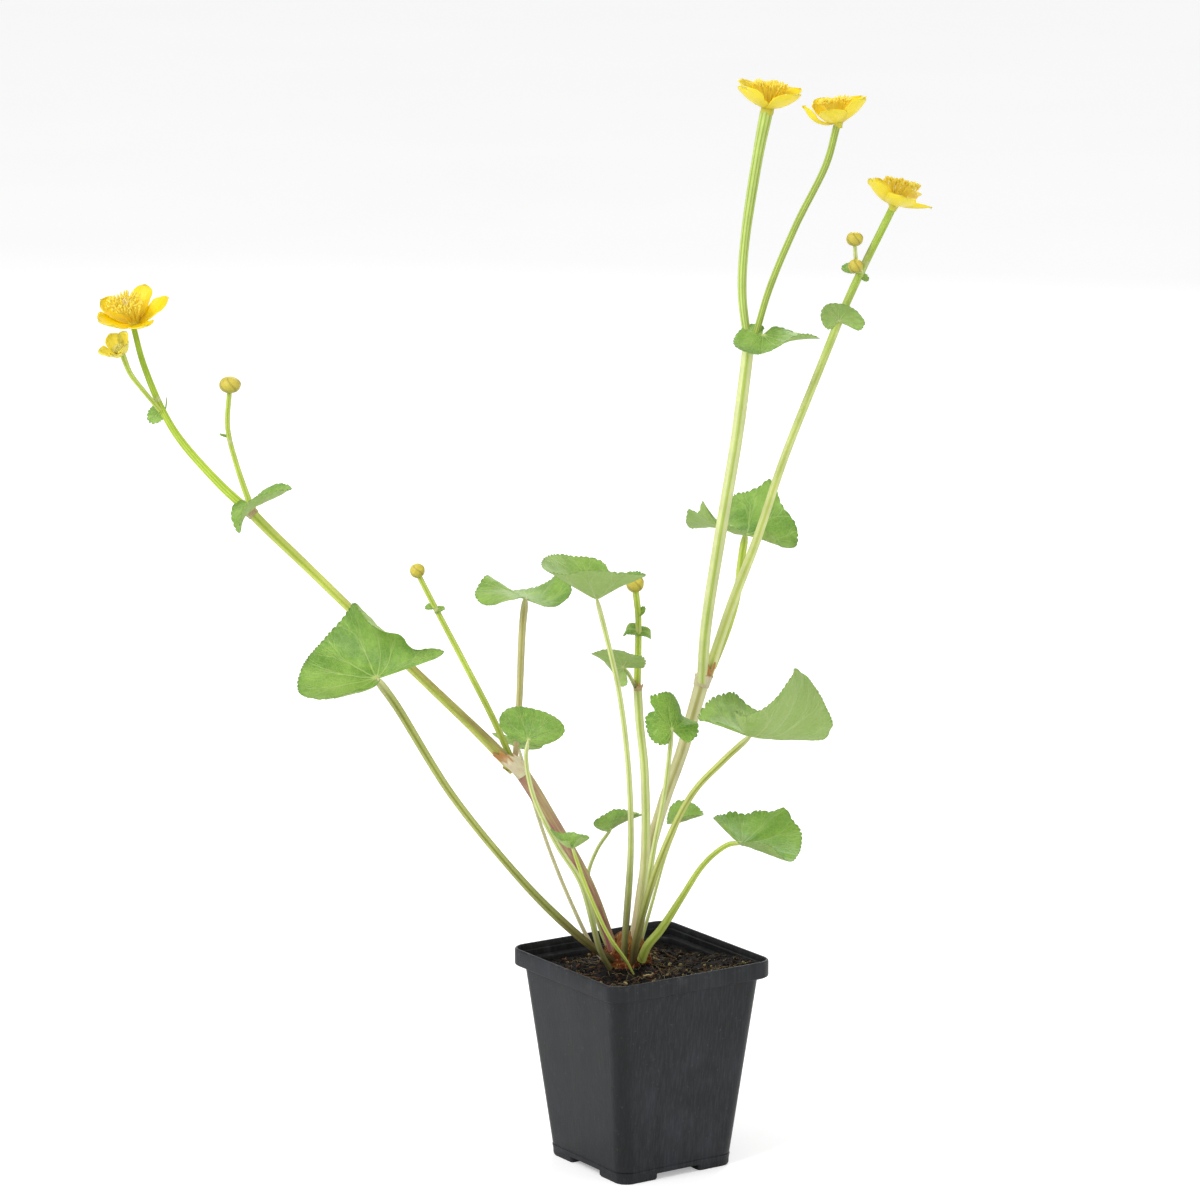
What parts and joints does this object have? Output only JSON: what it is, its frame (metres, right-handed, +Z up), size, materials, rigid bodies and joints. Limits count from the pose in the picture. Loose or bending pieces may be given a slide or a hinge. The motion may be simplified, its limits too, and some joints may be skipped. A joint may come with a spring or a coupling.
{
  "type": "marsh marigold in a pot",
  "caption": "Flowering marsh marigold with long leafy stems, growing from a square tapered nursery pot of dark compost.",
  "frame": {"origin": "on the floor under the centre of the pot", "axes": "+X along the plant's widest spread, +Y towards the pot's far side, +Z up; the square pot is turned 33.56 degrees about Z"},
  "size_m": [0.3806, 0.1504, 0.5066],
  "materials": {
    "pot": "satin black injection-moulded plastic",
    "soil": "dark peaty compost",
    "crown": "brown fibrous sheaths",
    "old_stem": "ribbed olive stem, beige at its edges",
    "stem": "smooth hollow green stem",
    "bud": "closed olive yellow bud",
    "stamens": "fine yellow stamens",
    "petal": "waxy bright yellow petal",
    "leaf": "matte green leaf with pale veins"
  },
  "bodies": {
    "root": {"pot": "pot", "crown": "crown", "stem_left_lower": "old_stem", "stem_left_middle": "stem", "stem_left_upper": "stem", "bud_stalk_left_low": "stem", "bud_stalk_left_high": "stem", "stem_right_lower": "old_stem", "stem_right_tall": "stem", "flower_stalk_top": "stem", "flower_stalk_top_right": "stem", "stem_right_side": "stem", "stem_center_lower": "stem", "stem_center_upper": "stem", "flower_left_heart": "stamens", "flower_left_petal_1": "petal", "flower_left_petal_2": "petal", "flower_left_petal_3": "petal", "flower_left_petal_4": "petal", "flower_left_petal_5": "petal", "flower_top_heart": "stamens", "flower_top_petal_1": "petal", "flower_top_petal_2": "petal", "flower_top_petal_3": "petal", "flower_top_petal_4": "petal", "flower_top_petal_5": "petal", "flower_top_right_heart": "stamens", "flower_top_right_petal_1": "petal", "flower_top_right_petal_2": "petal", "flower_top_right_petal_3": "petal", "flower_top_right_petal_4": "petal", "flower_top_right_petal_5": "petal", "flower_right_heart": "stamens", "flower_right_petal_1": "petal", "flower_right_petal_2": "petal", "flower_right_petal_3": "petal", "flower_right_petal_4": "petal", "flower_right_petal_5": "petal", "bud_left_low": "bud", "bud_left_high": "bud", "bud_center": "bud", "bud_pair_right": "bud", "flower_half_open": "petal", "leaf_left_large": "leaf", "leaf_center_high": "leaf", "leaf_center_left": "leaf", "leaf_low_left": "leaf", "leaf_right_mid": "leaf", "leaf_center_low": "leaf", "leaf_front_small": "leaf", "leaf_back_left": "leaf", "leaf_back_low": "leaf", "leaf_back_right": "leaf", "leaf_right_large": "leaf", "leaf_center_front": "leaf", "leaf_right_low": "leaf", "bract_left": "leaf", "bract_right_mid": "leaf", "bract_right_high": "leaf", "soil": "soil"}
  },
  "joints": []
}
